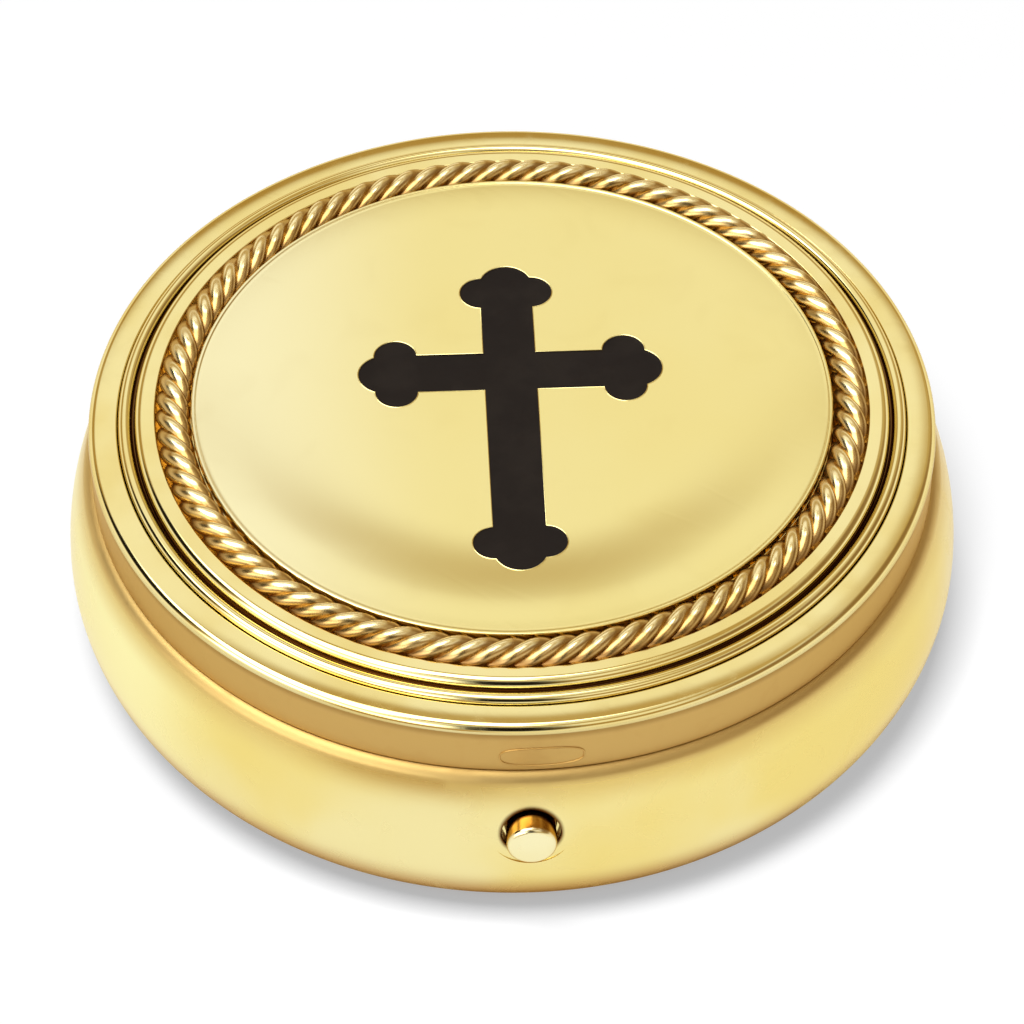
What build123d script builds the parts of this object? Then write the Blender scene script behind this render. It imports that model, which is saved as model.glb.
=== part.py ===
from build123d import *
import math
import os

# A push-button pyx: a round box of gilded brass with a hinged lid.
# Millimetres. The origin is the centre of the underside, +Z is up,
# the button faces -Y and the hinge is at the back, on +Y.

os.makedirs("parts", exist_ok=True)

# Overall sizes
belly_radius = 27.0  # the bowl's widest part
belly_height = 7.9  # above the table
rim_inset = 1.6  # lid's skirt inside the belly
seam_height = 13.9  # where bowl and lid meet
lid_height = 5.05  # seam to the top of the plate

# Bowl
bowl_wall = 0.7
shoulder_overhang = 0.35  # where the flank would meet the seam, beyond the skirt
crease_radius = 0.85  # round between flank and seam
mouth_land = 0.8  # straight stretch inside the rim

# Neck ring, soldered into the bowl's mouth
neck_wall = 0.5
neck_top_gap = 0.45  # under the lid's outer moulding
neck_depth = 1.7  # below the seam
neck_clearance = 0.15  # to the lid's skirt
solder_gap = 0.05
neck_chamfer = 0.2

# Lid shell
lid_wall = 0.6
seam_gap = 0.06
outer_ring_radius = 0.56  # round of its outer edge
outer_ring_overhang = 0.1  # beyond the skirt
outer_ring_width = 1.8  # outer edge to bead
outer_ring_slope = 0.16  # width of the slope down to the bead
outer_ring_drop = 1.25  # flat top below the plate
bead_radius = 0.4
bead_drop = 0.85
bead_undercut = 20  # degrees that the bead runs down past its middle
bead_groove = 0.2  # bead to inner moulding
inner_ring_radius = 0.55
inner_ring_width = 1.28
inner_ring_drop = 0.47
inner_ring_lip = 0.12  # round of its edge over the rope
moulding_wall = 0.85  # sheet under the outer moulding's top
moulding_cheek = 0.42  # sides of the inner moulding's hollow

# Rope border, two wires twisted together
wire_radius = 0.5
rope_turns = 42  # full twists round the ring
rope_rise = 0.35  # crest above the plate
rope_gap = 0.05  # to the plate inside it
rope_channel_gap = 0.07  # to the channel's wall outside it
rope_seat_gap = 0.02  # to the channel's floor
rope_sides = 10  # flats round the section
waist_share = 0.5  # how far the hollow between the wires fills
rope_steps = 4  # sections in each half twist

# Plate
plate_thickness = 0.6
plate_rim_width = 0.36
plate_edge_width = 2.6  # where the plate falls away towards its rim
plate_edge_drop = 0.08

# Cross
cross_centre = 2.4  # crossing behind the lid's centre
cross_top = 9.1  # crossing to each tip
cross_foot = 16.6
cross_arm = 9.2
cross_bar_width = 3.18
end_lobe_radius = 1.6
side_lobe_radius = 1.31
side_lobe_inset = 2.3  # from the tip
side_lobe_offset = 1.52  # from the bar's middle
inlay_depth = 0.3

# Button and its bush
button_radius = 1.475
button_proud = 1.06  # face beyond the belly
button_edge_radius = 0.35
button_dome = 0.12
hole_clearance = 0.235
hole_edge_radius = 0.12
bush_wall = 0.565
bush_bore_clearance = 0.06
bush_neck_gap = 0.1  # to the neck ring above
flange_width = 0.425  # beyond the button
flange_thickness = 0.65
stop_gap = 0.05
tail_radius = 0.6
rivet_head_width = 0.4  # beyond the tail
rivet_head_thickness = 0.3
rivet_crown_radius = 0.6
washer_width = 0.7  # beyond the tail
washer_thickness = 0.25

# Latch strip
latch_width = 3.0
latch_thickness = 0.4
latch_neck_gap = 0.2  # to the neck ring's inside
latch_foot = 2.15  # below the button's axis
nose_width = 2.4
nose_reach = 0.65
nose_height = 0.7
nose_land = 0.25

# Keeper inside the skirt
keeper_width = 3.4
keeper_thickness = 0.6
keeper_height = 0.85  # underside above the seam
keeper_reach = 0.7
keeper_chamfer = 0.2
catch_gap = 0.1  # between keeper and nose
notch_clearance = 0.7  # each side of the keeper, in the neck ring
notch_depth = 0.3  # below the keeper

# Catch spring and its lugs
spring_width = 3.0
spring_thickness = 0.28
spring_half_length = 10.0
spring_gap = 0.02
spring_hole_clearance = 0.06
lug_cheek = 0.34  # above and below the slot
lug_grip = 1.1  # length of spring held
lug_depth = 1.9
lug_back = 0.63  # behind the spring
lug_slot_clearance = 0.06

# Hinge
knuckle_radius = 0.9
hinge_rise = 0.15  # axis above the seam
hinge_gap = 0.1  # knuckle to skirt
lid_knuckle_length = 3.4
base_knuckle_length = 2.6
knuckle_side_gap = 0.1
pin_radius = 0.4
pin_clearance = 0.02
pin_running_clearance = 0.05
pin_head_length = 0.25
pin_head_taper = 20  # degrees
leaf_thickness = 0.4
lid_leaf_height = 2.1
base_leaf_height = 2.1
base_leaf_top = 0.15  # below the seam

overrun = 1.0  # how far cuts run past what they cut

# Worked out from the sizes above
rim_radius = belly_radius - rim_inset
shoulder_radius = rim_radius + shoulder_overhang
plate_top = seam_height + lid_height
foot_radius = belly_radius - belly_height
mouth_radius = rim_radius - lid_wall - neck_clearance + solder_gap
neck_radius = mouth_radius - solder_gap
neck_inside = neck_radius - neck_wall
skirt_bottom = seam_height + seam_gap
skirt_inside = rim_radius - lid_wall
outer_ring_edge = rim_radius + outer_ring_overhang
outer_ring_top = plate_top - outer_ring_drop
groove_underside = outer_ring_top - moulding_wall
neck_top = groove_underside - neck_top_gap
bead_pitch_radius = outer_ring_edge - outer_ring_width - bead_radius
inner_ring_edge = bead_pitch_radius - bead_radius - bead_groove
inner_ring_top = plate_top - inner_ring_drop
channel_edge = inner_ring_edge - inner_ring_width
rope_radius = 2 * wire_radius
plate_radius = channel_edge - rope_channel_gap - 2 * rope_radius - rope_gap
rope_pitch_radius = plate_radius + rope_gap + rope_radius
rope_height = plate_top + rope_rise - rope_radius
channel_floor = rope_height - rope_radius - rope_seat_gap
hole_radius = button_radius + hole_clearance
bush_radius = button_radius + bush_bore_clearance + bush_wall
button_height = seam_height - neck_depth - bush_neck_gap - bush_radius
button_reach = belly_radius + button_proud
latch_front = neck_inside - latch_neck_gap
latch_back = latch_front - latch_thickness
spring_front = latch_back - spring_gap
spring_back = spring_front - spring_thickness
lug_inner = spring_half_length - lug_grip
flange_front = latch_front + flange_thickness
bush_back = flange_front + stop_gap
keeper_bottom = seam_height + keeper_height
nose_bottom = keeper_bottom + keeper_thickness + catch_gap
hinge_y = rim_radius + hinge_gap + knuckle_radius
hinge_z = seam_height + hinge_rise


def wall_curves(wall, mouth, top):
    """The bowl's contour, a quarter circle from foot to belly and an arc from there to the mouth."""
    CenterArc((foot_radius, belly_height), belly_height - wall, -90, 90)
    TangentArc((belly_radius - wall, belly_height), (mouth, top), tangent=(0, 1))


# Outside and inside of the bowl as solids, for trimming what is soldered to it
with BuildPart() as bowl_outside:
    with BuildSketch(Plane.XZ):
        with BuildLine():
            Line((0, 0), (foot_radius, 0))
            wall_curves(0, shoulder_radius, seam_height)
            Line((shoulder_radius, seam_height), (0, seam_height))
            Line((0, seam_height), (0, 0))
        make_face()
    revolve(axis=Axis.Z)
    fillet(bowl_outside.edges().sort_by(Axis.Z)[-1], radius=crease_radius)

with BuildPart() as bowl_inside:
    with BuildSketch(Plane.XZ):
        with BuildLine():
            Line((0, bowl_wall), (foot_radius, bowl_wall))
            wall_curves(bowl_wall, mouth_radius, seam_height - mouth_land)
            Line((mouth_radius, seam_height - mouth_land), (mouth_radius, seam_height + overrun))
            Line((mouth_radius, seam_height + overrun), (0, seam_height + overrun))
            Line((0, seam_height + overrun), (0, bowl_wall))
        make_face()
    revolve(axis=Axis.Z)

# Bowl with its button hole and the recess for the lid's knuckle
with BuildPart() as bowl:
    add(bowl_outside.part)
    add(bowl_inside.part, mode=Mode.SUBTRACT)
    with BuildSketch(Plane.XZ.offset(bush_back)):
        with Locations((0, button_height)):
            Circle(hole_radius)
    extrude(amount=belly_radius, mode=Mode.SUBTRACT)
    hole_edge = bowl.edges(Select.LAST).sort_by(Axis.Y)[0]
    fillet(hole_edge, radius=hole_edge_radius)
    knuckle_start = lid_knuckle_length / 2 + knuckle_side_gap
    with BuildSketch(Plane.YZ):
        with Locations((hinge_y, hinge_z)):
            Circle(knuckle_radius + hinge_gap)
    extrude(amount=knuckle_start, both=True, mode=Mode.SUBTRACT)
bowl.part.label = "bowl"

# Neck ring with its notch for the latch
with BuildPart() as neck_ring:
    with BuildSketch(Plane.XZ):
        with BuildLine():
            Polyline(
                (neck_inside, seam_height - neck_depth),
                (neck_radius, seam_height - neck_depth),
                (neck_radius, neck_top - neck_chamfer),
                (neck_radius - neck_chamfer, neck_top),
                (neck_inside, neck_top),
                close=True,
            )
        make_face()
    revolve(axis=Axis.Z)
    notch_height = neck_top - keeper_bottom + notch_depth
    with Locations((0, -neck_radius, neck_top)):
        Box(
            keeper_width + 2 * notch_clearance,
            2 * neck_wall + 2 * overrun,
            2 * notch_height,
            mode=Mode.SUBTRACT,
        )
neck_ring.part.label = "neck_ring"

# Lid shell: skirt, outer moulding, bead, inner moulding, rope channel, seat for the plate
with BuildPart() as lid_shell:
    outer_centre = (outer_ring_edge - outer_ring_radius, outer_ring_top - outer_ring_radius)
    bead_centre = (bead_pitch_radius, plate_top - bead_drop - bead_radius)
    inner_centre = (inner_ring_edge - inner_ring_radius, inner_ring_top - inner_ring_radius)
    lip_centre = (channel_edge + inner_ring_lip, inner_ring_top - inner_ring_lip)
    skirt_turn = math.degrees(math.acos(1 - outer_ring_overhang / outer_ring_radius))
    slope_start = outer_ring_edge - outer_ring_width + outer_ring_slope
    seat_height = plate_top - plate_thickness
    channel_underside = channel_floor - lid_wall
    fold = lid_wall / 2
    with BuildSketch(Plane.XZ):
        with BuildLine():
            outer_ring = CenterArc(outer_centre, outer_ring_radius, -skirt_turn, skirt_turn + 90)
            bead = CenterArc(bead_centre, bead_radius, -bead_undercut, 180 + 2 * bead_undercut)
            inner_ring = CenterArc(inner_centre, inner_ring_radius, 0, 90)
            lip = CenterArc(lip_centre, inner_ring_lip, 90, 90)
            Line((rim_radius, skirt_bottom), outer_ring @ 0)
            Polyline(outer_ring @ 1, (slope_start, outer_ring_top), bead @ 0)
            Line(bead @ 1, inner_ring @ 0)
            Line(inner_ring @ 1, lip @ 0)
            Polyline(
                lip @ 1,
                (channel_edge, channel_floor),
                (plate_radius, channel_floor),
                (plate_radius, seat_height),
                (0, seat_height),
                (0, seat_height - lid_wall),
                (plate_radius - lid_wall, seat_height - lid_wall),
                (plate_radius - lid_wall, channel_underside),
                (channel_edge + moulding_cheek, channel_underside),
                (channel_edge + moulding_cheek, inner_ring_top - lid_wall),
                (inner_ring_edge - moulding_cheek, inner_ring_top - lid_wall),
                (inner_ring_edge - moulding_cheek, groove_underside),
                (skirt_inside - fold, groove_underside),
                (skirt_inside, groove_underside - fold),
                (skirt_inside, skirt_bottom),
                (rim_radius, skirt_bottom),
            )
        make_face()
    revolve(axis=Axis.Z)
lid_shell.part.label = "lid_shell"

# Budded cross, seen from above
with BuildSketch(Plane.XY.offset(plate_top)) as cross_outline:
    with Locations((0, cross_centre + (cross_top - cross_foot) / 2)):
        Rectangle(cross_bar_width, cross_top + cross_foot - 2 * end_lobe_radius)
    with Locations((0, cross_centre)):
        Rectangle(2 * (cross_arm - end_lobe_radius), cross_bar_width)
    for reach, turn in ((cross_top, 90), (cross_foot, -90), (cross_arm, 0), (cross_arm, 180)):
        along = Vector(1, 0).rotate(Axis.Z, turn)
        across = Vector(0, 1).rotate(Axis.Z, turn)
        crossing = Vector(0, cross_centre)
        with Locations(crossing + along * (reach - end_lobe_radius)):
            Circle(end_lobe_radius)
        side_lobes = crossing + along * (reach - side_lobe_inset)
        with Locations(side_lobes + across * side_lobe_offset, side_lobes - across * side_lobe_offset):
            Circle(side_lobe_radius)

# Plate with its rim and the pocket for the cross
with BuildPart() as lid_plate:
    rim_inner = plate_radius - plate_rim_width
    edge_start = rim_inner - plate_edge_width
    edge_height = plate_top - plate_edge_drop
    with BuildSketch(Plane.XZ):
        with BuildLine():
            Line((0, plate_top), (edge_start, plate_top))
            Bezier(
                (edge_start, plate_top),
                (rim_inner - plate_edge_width / 2, plate_top),
                (rim_inner, edge_height),
            )
            RadiusArc((rim_inner, edge_height), (plate_radius, edge_height), plate_rim_width)
            Polyline(
                (plate_radius, edge_height),
                (plate_radius, plate_top - plate_thickness),
                (0, plate_top - plate_thickness),
                (0, plate_top),
            )
        make_face()
    revolve(axis=Axis.Z)
    extrude(cross_outline.sketch, amount=-inlay_depth, mode=Mode.SUBTRACT)
lid_plate.part.label = "lid_plate"

# Black cross, filled flush
with BuildPart() as cross_inlay:
    extrude(cross_outline.sketch, amount=-inlay_depth)
cross_inlay.part.label = "cross_inlay"

def rope_outline(twist):
    """Corners round the two wires where they touch, turned by the twist in radians."""
    corners = []
    for side in range(rope_sides):
        turn = 2 * math.pi * side / rope_sides
        lobe = abs(math.cos(turn))
        reach = wire_radius * (lobe + max(lobe, waist_share))
        corners.append((reach * math.cos(turn + twist), reach * math.sin(turn + twist)))
    return corners


# One half twist of the rope, which ends on the outline that it starts on
with BuildPart() as half_twist:
    half_twists = 2 * rope_turns
    for step in range(rope_steps + 1):
        around = -360 / half_twists * step / rope_steps
        station = Plane(
            origin=Vector(rope_pitch_radius, 0, rope_height).rotate(Axis.Z, around),
            x_dir=Vector(1, 0, 0).rotate(Axis.Z, around),
            z_dir=Vector(0, 1, 0).rotate(Axis.Z, around),
        )
        with BuildSketch(station):
            with BuildLine():
                Polyline(*rope_outline(math.pi * step / rope_steps), close=True)
            make_face()
    loft(ruled=True)

# Rope border, the half twist repeated round the ring
with BuildPart() as rope_border:
    with PolarLocations(0, half_twists):
        add(half_twist.part)
rope_border.part.label = "rope_border"

# Keeper
with BuildPart() as lid_keeper:
    with BuildSketch(Plane.XZ):
        with BuildLine():
            Polyline(
                (skirt_inside, keeper_bottom),
                (skirt_inside, keeper_bottom + keeper_thickness),
                (skirt_inside - keeper_reach, keeper_bottom + keeper_thickness),
                (skirt_inside - keeper_reach, keeper_bottom + keeper_chamfer),
                (skirt_inside - keeper_reach + keeper_chamfer, keeper_bottom),
                close=True,
            )
        make_face()
    revolve(axis=Axis.Z)
    with Locations((0, -rim_radius, keeper_bottom)):
        Box(keeper_width, rim_radius, 2 * lid_height, mode=Mode.INTERSECT)
lid_keeper.part.label = "lid_keeper"

# Bush behind the button hole
with BuildPart() as button_bush:
    with BuildSketch(Plane.XZ.offset(bush_back)):
        with Locations((0, button_height)):
            Circle(bush_radius)
            Circle(button_radius + bush_bore_clearance, mode=Mode.SUBTRACT)
    extrude(amount=belly_radius - bush_back)
    add(bowl_inside.part, mode=Mode.INTERSECT)
button_bush.part.label = "button_bush"

# Button: head, flange, tail and riveted end in one turning
with BuildPart() as push_button:
    tail_end = spring_back - washer_thickness
    head_end = tail_end - rivet_head_thickness
    shoulder = button_radius - button_edge_radius
    flange_radius = button_radius + flange_width
    face = button_reach - button_dome
    with BuildSketch(Plane.XY.offset(button_height)):
        with BuildLine():
            Line((0, -head_end), (0, -button_reach))
            TangentArc((0, -button_reach), (shoulder, -face), tangent=(1, 0))
            TangentArc(
                (button_radius, -face + button_edge_radius),
                (shoulder, -face),
                tangent=(0, -1),
            )
            Polyline(
                (button_radius, -face + button_edge_radius),
                (button_radius, -flange_front),
                (flange_radius, -flange_front),
                (flange_radius, -latch_front),
                (tail_radius, -latch_front),
                (tail_radius, -tail_end),
                (tail_radius + rivet_head_width, -tail_end),
                (rivet_crown_radius, -head_end),
                (0, -head_end),
            )
        make_face()
    revolve(axis=Axis((0, 0, button_height), (0, 1, 0)))
push_button.part.label = "push_button"

# Latch strip with its nose
with BuildPart() as catch_latch:
    latch_bottom = button_height - latch_foot
    latch_top = nose_bottom + nose_height
    with BuildSketch(Plane.YZ):
        with BuildLine():
            Polyline(
                (-latch_front, latch_bottom),
                (-latch_front, latch_top),
                (-latch_back, latch_top),
                (-latch_back, latch_bottom),
                close=True,
            )
        make_face()
    extrude(amount=latch_width / 2, both=True)
    with BuildSketch(Plane.YZ):
        with BuildLine():
            Polyline(
                (-latch_front, nose_bottom),
                (-latch_front - nose_reach, nose_bottom),
                (-latch_front - nose_reach, nose_bottom + nose_land),
                (-latch_front, latch_top),
                close=True,
            )
        make_face()
    extrude(amount=nose_width / 2, both=True)
    with BuildSketch(Plane.XZ.offset(latch_back - overrun)):
        with Locations((0, button_height)):
            Circle(tail_radius)
    extrude(amount=latch_thickness + 2 * overrun, mode=Mode.SUBTRACT)
catch_latch.part.label = "catch_latch"

# Washer under the riveted end
with BuildPart() as rivet_washer:
    with BuildSketch(Plane.XZ.offset(spring_back - washer_thickness)):
        with Locations((0, button_height)):
            Circle(tail_radius + washer_width)
            Circle(tail_radius, mode=Mode.SUBTRACT)
    extrude(amount=washer_thickness - spring_gap)
rivet_washer.part.label = "rivet_washer"

# Catch spring, a flat bow across the front of the bowl
with BuildPart() as catch_spring:
    with BuildSketch(Plane.XZ.offset(spring_back)):
        with Locations((0, button_height)):
            SlotOverall(2 * spring_half_length, spring_width)
            Circle(tail_radius + spring_hole_clearance, mode=Mode.SUBTRACT)
    extrude(amount=spring_thickness)
catch_spring.part.label = "catch_spring"

# Lugs that hold the spring's ends
with BuildPart() as spring_lug_right:
    lug_height = spring_width + 2 * lug_slot_clearance + 2 * lug_cheek
    with BuildSketch(Plane.XZ.offset(spring_back - lug_back)):
        with Locations((lug_inner + belly_radius / 2, button_height)):
            Rectangle(belly_radius, lug_height)
    extrude(amount=lug_depth)
    add(bowl_inside.part, mode=Mode.INTERSECT)
    with BuildSketch(Plane.XZ.offset(spring_back - lug_slot_clearance)):
        with Locations((0, button_height)):
            SlotOverall(
                2 * (spring_half_length + lug_slot_clearance),
                spring_width + 2 * lug_slot_clearance,
            )
    extrude(amount=spring_thickness + 2 * lug_slot_clearance, mode=Mode.SUBTRACT)
spring_lug_right.part.label = "spring_lug_right"

with BuildPart() as spring_lug_left:
    mirror(spring_lug_right.part, about=Plane.YZ)
spring_lug_left.part.label = "spring_lug_left"

# Hinge leaf and middle knuckle on the lid
with BuildPart() as hinge_lid_leaf:
    with BuildSketch(Plane.XZ):
        with Locations((rim_radius + leaf_thickness / 2, hinge_z + lid_leaf_height / 2)):
            Rectangle(leaf_thickness, lid_leaf_height)
    revolve(axis=Axis.Z)
    with Locations((0, rim_radius, hinge_z)):
        Box(lid_knuckle_length, rim_radius, 3 * lid_leaf_height, mode=Mode.INTERSECT)
    with BuildSketch(Plane.YZ):
        with Locations((hinge_y, hinge_z)):
            Circle(knuckle_radius)
    extrude(amount=lid_knuckle_length / 2, both=True)
    with BuildSketch(Plane.YZ):
        with Locations((hinge_y, hinge_z)):
            Circle(pin_radius + pin_running_clearance)
    extrude(amount=lid_knuckle_length, both=True, mode=Mode.SUBTRACT)
hinge_lid_leaf.part.label = "hinge_lid_leaf"

# Hinge leaf and outer knuckles on the bowl
with BuildPart() as hinge_base_leaf:
    hinge_half = knuckle_start + base_knuckle_length
    leaf_top = seam_height - base_leaf_top
    with BuildSketch(Plane.YZ):
        with BuildLine():
            Polyline(
                (rim_radius - knuckle_radius, leaf_top),
                (hinge_y + knuckle_radius, leaf_top),
                (belly_radius + leaf_thickness / 2, leaf_top - base_leaf_height),
                (rim_radius - knuckle_radius, leaf_top - base_leaf_height),
                close=True,
            )
        make_face()
    extrude(amount=hinge_half, both=True)
    with BuildSketch(Plane.YZ):
        with Locations((hinge_y, hinge_z)):
            Circle(knuckle_radius + hinge_gap)
    extrude(amount=knuckle_start, both=True, mode=Mode.SUBTRACT)
    with BuildSketch(Plane.YZ.offset(knuckle_start)):
        with Locations((hinge_y, hinge_z)):
            Circle(knuckle_radius)
    extrude(amount=base_knuckle_length)
    with BuildSketch(Plane.YZ.offset(-knuckle_start)):
        with Locations((hinge_y, hinge_z)):
            Circle(knuckle_radius)
    extrude(amount=-base_knuckle_length)
    add(bowl_outside.part, mode=Mode.SUBTRACT)
    with BuildSketch(Plane.YZ):
        with Locations((hinge_y, hinge_z)):
            Circle(pin_radius + pin_clearance)
    extrude(amount=hinge_half + overrun, both=True, mode=Mode.SUBTRACT)
hinge_base_leaf.part.label = "hinge_base_leaf"

# Hinge pin with its ends spread
with BuildPart() as hinge_pin:
    pin_half = hinge_half + solder_gap
    pin_head_radius = pin_radius + pin_head_length / 2
    with BuildSketch(Plane.YZ):
        with Locations((hinge_y, hinge_z)):
            Circle(pin_radius)
    extrude(amount=pin_half, both=True)
    with BuildSketch(Plane.YZ.offset(pin_half)):
        with Locations((hinge_y, hinge_z)):
            Circle(pin_head_radius)
    extrude(amount=pin_head_length, taper=pin_head_taper)
    with BuildSketch(Plane.YZ.offset(-pin_half)):
        with Locations((hinge_y, hinge_z)):
            Circle(pin_head_radius)
    extrude(amount=-pin_head_length, taper=pin_head_taper)
hinge_pin.part.label = "hinge_pin"

for piece in (
    bowl,
    neck_ring,
    hinge_base_leaf,
    hinge_pin,
    button_bush,
    spring_lug_left,
    spring_lug_right,
    catch_spring,
    lid_shell,
    lid_plate,
    cross_inlay,
    rope_border,
    hinge_lid_leaf,
    lid_keeper,
    push_button,
    catch_latch,
    rivet_washer,
):
    export_step(piece.part, f"parts/{piece.part.label}.step")
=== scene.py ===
import math

import bmesh
import bpy
from mathutils import Matrix, Vector


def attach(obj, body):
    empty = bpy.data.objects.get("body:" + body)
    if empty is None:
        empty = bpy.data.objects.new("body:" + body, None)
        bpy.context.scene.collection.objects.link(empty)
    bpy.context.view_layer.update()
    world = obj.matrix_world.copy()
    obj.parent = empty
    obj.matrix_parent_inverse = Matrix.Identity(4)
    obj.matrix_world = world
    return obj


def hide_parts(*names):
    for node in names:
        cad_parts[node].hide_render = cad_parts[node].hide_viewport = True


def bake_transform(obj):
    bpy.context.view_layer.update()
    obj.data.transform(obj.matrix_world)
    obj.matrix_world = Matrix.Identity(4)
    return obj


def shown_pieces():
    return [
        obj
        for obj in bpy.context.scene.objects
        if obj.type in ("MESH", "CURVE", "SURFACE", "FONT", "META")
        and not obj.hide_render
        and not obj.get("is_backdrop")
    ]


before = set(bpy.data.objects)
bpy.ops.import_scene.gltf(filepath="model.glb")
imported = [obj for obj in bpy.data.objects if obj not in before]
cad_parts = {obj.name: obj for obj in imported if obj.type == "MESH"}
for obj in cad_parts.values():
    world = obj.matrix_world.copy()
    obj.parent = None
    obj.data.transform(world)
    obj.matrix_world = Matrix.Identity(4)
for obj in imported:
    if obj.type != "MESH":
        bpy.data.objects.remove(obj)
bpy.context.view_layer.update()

# A round gilt pyx with a push-button catch.
# Sizes are in millimetres until MM makes them metres, and angles are in degrees.
MM = 0.001
TURN = 2 * math.pi


# ---------------------------------------------------------------- tools of the modeller

LATHE_WELD = 0.001
SMOOTH_BELOW = 40
EASED_SMOOTH_BELOW = 32
EASED_ABOVE = 35


def alone(piece):
    """Selects one piece and nothing else."""
    bpy.ops.object.select_all(action="DESELECT")
    piece.select_set(True)
    bpy.context.view_layer.objects.active = piece


def settle(piece):
    """Puts the piece's place, turn and scale into its mesh."""
    alone(piece)
    bpy.ops.object.transform_apply(location=True, rotation=True, scale=True)


def open_up(piece):
    """Starts editing one piece, with all of its mesh selected."""
    alone(piece)
    bpy.ops.object.mode_set(mode="EDIT")
    bpy.ops.mesh.select_all(action="SELECT")


def close_up():
    """Ends the editing."""
    bpy.ops.object.mode_set(mode="OBJECT")


def face_outwards():
    """Turns all faces of the mesh that is being edited outwards."""
    bpy.ops.mesh.select_all(action="SELECT")
    bpy.ops.mesh.normals_make_consistent(inside=False)


def smooth(piece, degrees=SMOOTH_BELOW):
    alone(piece)
    bpy.ops.object.shade_smooth_by_angle(angle=math.radians(degrees))


def apply(piece, modifier, **settings):
    """Applies a modifier of that kind with those settings."""
    step = piece.modifiers.new(modifier.title(), modifier)
    for key, value in settings.items():
        setattr(step, key, value)
    alone(piece)
    bpy.ops.object.modifier_apply(modifier=step.name)


def pick(piece, wanted, kind="faces"):
    """Selects the faces or edges that wanted() says yes to. The piece is in edit mode."""
    bpy.ops.mesh.select_mode(type="FACE" if kind == "faces" else "EDGE")
    bpy.ops.mesh.select_all(action="DESELECT")
    mesh = bmesh.from_edit_mesh(piece.data)
    for part in getattr(mesh, kind):
        if wanted(part):
            part.select_set(True)
    mesh.select_flush_mode()
    bmesh.update_edit_mesh(piece.data)


def line_to(r, z):
    return ("line", (r, z))


def arc_about(r, z, degrees):
    """An arc about a centre. Seen from the front, a positive angle goes clockwise."""
    return ("arc", (r, z), degrees)


def turned(name, start, strokes, around=360, step=6):
    """Draws a profile with straight strokes and arcs, then turns it round the upright axis."""
    bpy.ops.object.select_all(action="DESELECT")
    bpy.ops.mesh.primitive_plane_add(size=MM, location=(start[0] * MM, 0, start[1] * MM))
    piece = bpy.context.object
    piece.name = name
    settle(piece)
    open_up(piece)
    bpy.ops.mesh.select_mode(type="VERT")
    bpy.ops.mesh.merge(type="CENTER")
    at = Vector((start[0], 0, start[1]))
    for kind, point, *angle in strokes:
        if kind == "line":
            to = Vector((point[0], 0, point[1]))
            move = {"value": (to - at) * MM}
            bpy.ops.mesh.extrude_vertices_move(TRANSFORM_OT_translate=move)
        else:
            centre = Vector((point[0], 0, point[1]))
            turn = math.radians(angle[0])
            steps = max(2, round(abs(angle[0]) / step))
            bpy.ops.mesh.spin(steps=steps, angle=turn, center=centre * MM, axis=(0, -1, 0))
            to = centre + Matrix.Rotation(turn, 3, "Y") @ (at - centre)
        at = to
    close_up()
    apply(piece, "SCREW", axis="Z", angle=TURN, steps=around, render_steps=around)
    open_up(piece)
    bpy.ops.mesh.remove_doubles(threshold=LATHE_WELD * MM)
    face_outwards()
    close_up()
    smooth(piece)
    return piece


def circle(name, vertices, radius, **settings):
    """A circle of edges, or a disc with fill_type, with its turn put into the mesh."""
    bpy.ops.object.select_all(action="DESELECT")
    bpy.ops.mesh.primitive_circle_add(vertices=vertices, radius=radius * MM, **settings)
    piece = bpy.context.object
    piece.name = name
    settle(piece)
    return piece


def wired(piece, radius):
    """Gives a loop of edges the thickness of a round wire."""
    alone(piece)
    bpy.ops.object.convert(target="CURVE")
    piece.data.bevel_depth = radius * MM
    piece.data.bevel_resolution = 2
    bpy.ops.object.convert(target="MESH")
    smooth(piece)


def rod(radius, length, place, turn):
    """A plain cylinder, for cutting with."""
    bpy.ops.object.select_all(action="DESELECT")
    bpy.ops.mesh.primitive_cylinder_add(
        vertices=96,
        radius=radius * MM,
        depth=length * MM,
        location=Vector(place) * MM,
        rotation=turn,
    )
    settle(bpy.context.object)
    return bpy.context.object


def cut_away(piece, cutter):
    """Cuts one solid out of another and clears the cutter away."""
    apply(piece, "BOOLEAN", operation="DIFFERENCE", solver="EXACT", object=cutter)
    bpy.data.objects.remove(cutter)
    smooth(piece)


def welded(node, name):
    """A copy of a CAD node with its loose triangles joined."""
    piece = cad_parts[node].copy()
    piece.data = piece.data.copy()
    piece.parent = None
    piece.name = name
    for key in list(piece.keys()):
        del piece[key]
    bpy.context.scene.collection.objects.link(piece)
    piece.hide_viewport = piece.hide_render = False
    piece.hide_set(False)
    open_up(piece)
    bpy.ops.mesh.remove_doubles(threshold=0.0005 * MM)
    bpy.ops.mesh.dissolve_limited(angle_limit=math.radians(1))
    close_up()
    return piece


def eased(node, name, width):
    """A copy of a CAD node with its sharp edges eased by a small bevel."""
    piece = welded(node, name)
    apply(
        piece,
        "BEVEL",
        width=width * MM,
        segments=2,
        limit_method="ANGLE",
        angle_limit=math.radians(EASED_ABOVE),
    )
    smooth(piece, EASED_SMOOTH_BELOW)
    return piece


def coat(piece, finish):
    """Gives a piece its one material."""
    piece.data.materials.clear()
    piece.data.materials.append(finish)


def finished(piece, body, slot, finish, *nodes):
    """Gives a piece its material and its body, and hides the CAD nodes that it stands for. The
    slot is not used.
    """
    coat(piece, finish)
    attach(piece, body)
    if nodes:
        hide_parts(*nodes)


# ---------------------------------------------------------------- tools for the shaders


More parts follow.
